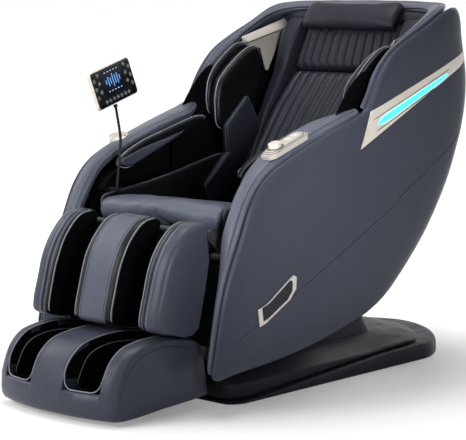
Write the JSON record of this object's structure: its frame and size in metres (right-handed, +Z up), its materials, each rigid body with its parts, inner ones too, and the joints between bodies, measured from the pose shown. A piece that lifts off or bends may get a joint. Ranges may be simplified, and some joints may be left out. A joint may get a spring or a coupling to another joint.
{
  "type": "massage chair",
  "caption": "Reclining massage chair: padded shell on a floor base, lifting calf and foot rest, arm channels, flip pillow, remote on a stem and a massage carriage inside the back.",
  "frame": {"origin": "on the floor under the middle rubber foot, midway across the chair", "axes": "+X to the sitter's left (right as seen from the front), -Y to the front, +Z up"},
  "size_m": [0.789, 1.639, 1.135],
  "materials": {
    "navy_shell": "satin",
    "navy_leather": "satin",
    "grey_leather": "satin",
    "black_fabric": "matte",
    "champagne": "satin",
    "dark_plastic": "satin",
    "frame_steel": "satin",
    "rail_steel": "satin",
    "bright_rod": "polished",
    "drive_housing": "satin",
    "massage_head": "satin",
    "foot_rubber": "matte",
    "led_lens": "gloss",
    "switch_red": "gloss",
    "tablet_case": "satin"
  },
  "bodies": {
    "base": {"base_plate": "dark_plastic", "base_cover": "dark_plastic", "base_frame": "frame_steel", "pivot_brackets": "frame_steel", "neck_cover": "dark_plastic", "tilt_actuator": "drive_housing", "power_box": "dark_plastic", "rubber_feet": "foot_rubber"},
    "tilt_rod_body": {"tilt_rod": "bright_rod"},
    "wheel_body": {"transport_wheels": "foot_rubber"},
    "switch_body": {"power_rocker": "switch_red"},
    "shell": {"seat_frame": "frame_steel", "back_frame": "frame_steel", "massage_rails": "rail_steel", "bottom_cover": "dark_plastic", "rear_cover": "dark_plastic", "side_panel_l": "navy_shell", "side_panel_r": "navy_shell", "arm_cap_l": "grey_leather", "arm_cap_r": "grey_leather", "arm_liner_l": "black_fabric", "arm_liner_r": "black_fabric", "hood_rim": "grey_leather", "wing_liners": "black_fabric", "arm_pads_upper": "grey_leather", "arm_pads_lower": "black_fabric", "shoulder_pads_outer": "navy_leather", "shoulder_pads_inner": "navy_leather", "wing_trims": "champagne", "wedge_trims": "champagne", "led_strips": "led_lens", "side_emblems": "champagne", "back_bolsters": "navy_leather", "back_pad_upper": "navy_leather", "back_pad_lower": "navy_leather", "seat_pad": "grey_leather", "hip_pads": "navy_leather", "neck_roll": "navy_leather", "control_plate": "champagne", "charging_pad": "champagne", "air_pump": "dark_plastic", "remote_bracket": "dark_plastic", "leg_actuator": "drive_housing"},
    "pillow_body": {"head_pillow": "navy_leather"},
    "carriage_body": {"massage_carriage": "drive_housing"},
    "knead_body": {"knead_heads": "massage_head"},
    "leg": {"calf_frame": "frame_steel", "calf_shell": "dark_plastic", "calf_pad_middle": "grey_leather", "calf_pads_outer": "navy_leather"},
    "foot": {"foot_shell": "dark_plastic", "foot_pads": "black_fabric", "foot_tubes": "bright_rod"},
    "roller_body": {"foot_rollers": "massage_head"},
    "leg_rod_body": {"leg_rod": "bright_rod"},
    "stem_body": {"remote_stem": "dark_plastic"},
    "tablet_body": {"remote_tablet": "tablet_case"},
    "knob_body": {"control_knob": "champagne"},
    "key_a_body": {"control_key_a": "champagne"},
    "key_b_body": {"control_key_b": "champagne"}
  },
  "joints": [
    {"name": "recline", "type": "hinge", "parent": "base", "child": "shell", "pos_m": [0, 0.15, 0.25], "axis": [-1, 0, 0], "range_deg": [0, 25]},
    {"name": "tilt_extend", "type": "slide", "parent": "base", "child": "tilt_rod_body", "axis": [0, -1, 0], "range_m": [0, 0.0545]},
    {"name": "wheel_spin", "type": "hinge", "parent": "base", "child": "wheel_body", "pos_m": [0, 0.52, 0.022], "axis": [1, 0, 0], "continuous": true},
    {"name": "power_switch", "type": "hinge", "parent": "base", "child": "switch_body", "pos_m": [0.019, 0.487, 0.1258], "axis": [1, 0, 0], "range_deg": [-8, 8]},
    {"name": "pillow_flip", "type": "hinge", "parent": "shell", "child": "pillow_body", "pos_m": [0, 0.611, 1.113], "axis": [-1, 0, 0], "range_deg": [0, 60]},
    {"name": "carriage_travel", "type": "slide", "parent": "shell", "child": "carriage_body", "axis": [0, 0.6559, 0.7549], "range_m": [0, 0.24]},
    {"name": "knead_spin", "type": "hinge", "parent": "carriage_body", "child": "knead_body", "pos_m": [0, 0.408, 0.592], "axis": [1, 0, 0], "continuous": true},
    {"name": "leg_lift", "type": "hinge", "parent": "shell", "child": "leg", "pos_m": [0, -0.368, 0.492], "axis": [-1, 0, 0], "range_deg": [0, 78]},
    {"name": "foot_extend", "type": "slide", "parent": "leg", "child": "foot", "axis": [0, -0.342, -0.9397], "range_m": [0, 0.12]},
    {"name": "foot_roller_spin", "type": "hinge", "parent": "foot", "child": "roller_body", "pos_m": [0, -0.54, 0.05], "axis": [1, 0, 0], "continuous": true},
    {"name": "leg_push", "type": "slide", "parent": "shell", "child": "leg_rod_body", "axis": [0, -1, 0], "range_m": [0, 0.0755]},
    {"name": "stem_swivel", "type": "hinge", "parent": "shell", "child": "stem_body", "pos_m": [-0.238, -0.258, 0.576], "axis": [0, 0, 1], "range_deg": [-60, 45]},
    {"name": "tablet_tilt", "type": "hinge", "parent": "stem_body", "child": "tablet_body", "pos_m": [-0.23349, -0.26638, 0.82808], "axis": [-0.1599, 0.9579, 0.2382], "range_deg": [-20, 20]},
    {"name": "knob_turn", "type": "hinge", "parent": "shell", "child": "knob_body", "pos_m": [0.326, -0.17626, 0.72763], "axis": [0, -0.3173, 0.9483], "range_deg": [-135, 135]},
    {"name": "key_a_press", "type": "slide", "parent": "shell", "child": "key_a_body", "axis": [0, 0.3173, -0.9483], "range_m": [0, 0.001], "stiffness_N_per_m": 500},
    {"name": "key_b_press", "type": "slide", "parent": "shell", "child": "key_b_body", "axis": [0, 0.3173, -0.9483], "range_m": [0, 0.001], "stiffness_N_per_m": 500}
  ],
  "couplings": [
    {"joint": "tilt_extend", "follows": "recline", "m_per_rad": 0.1235},
    {"joint": "foot_extend", "follows": "leg_lift", "m_per_rad": 0.088},
    {"joint": "leg_push", "follows": "leg_lift", "m_per_rad": 0.0554}
  ]
}
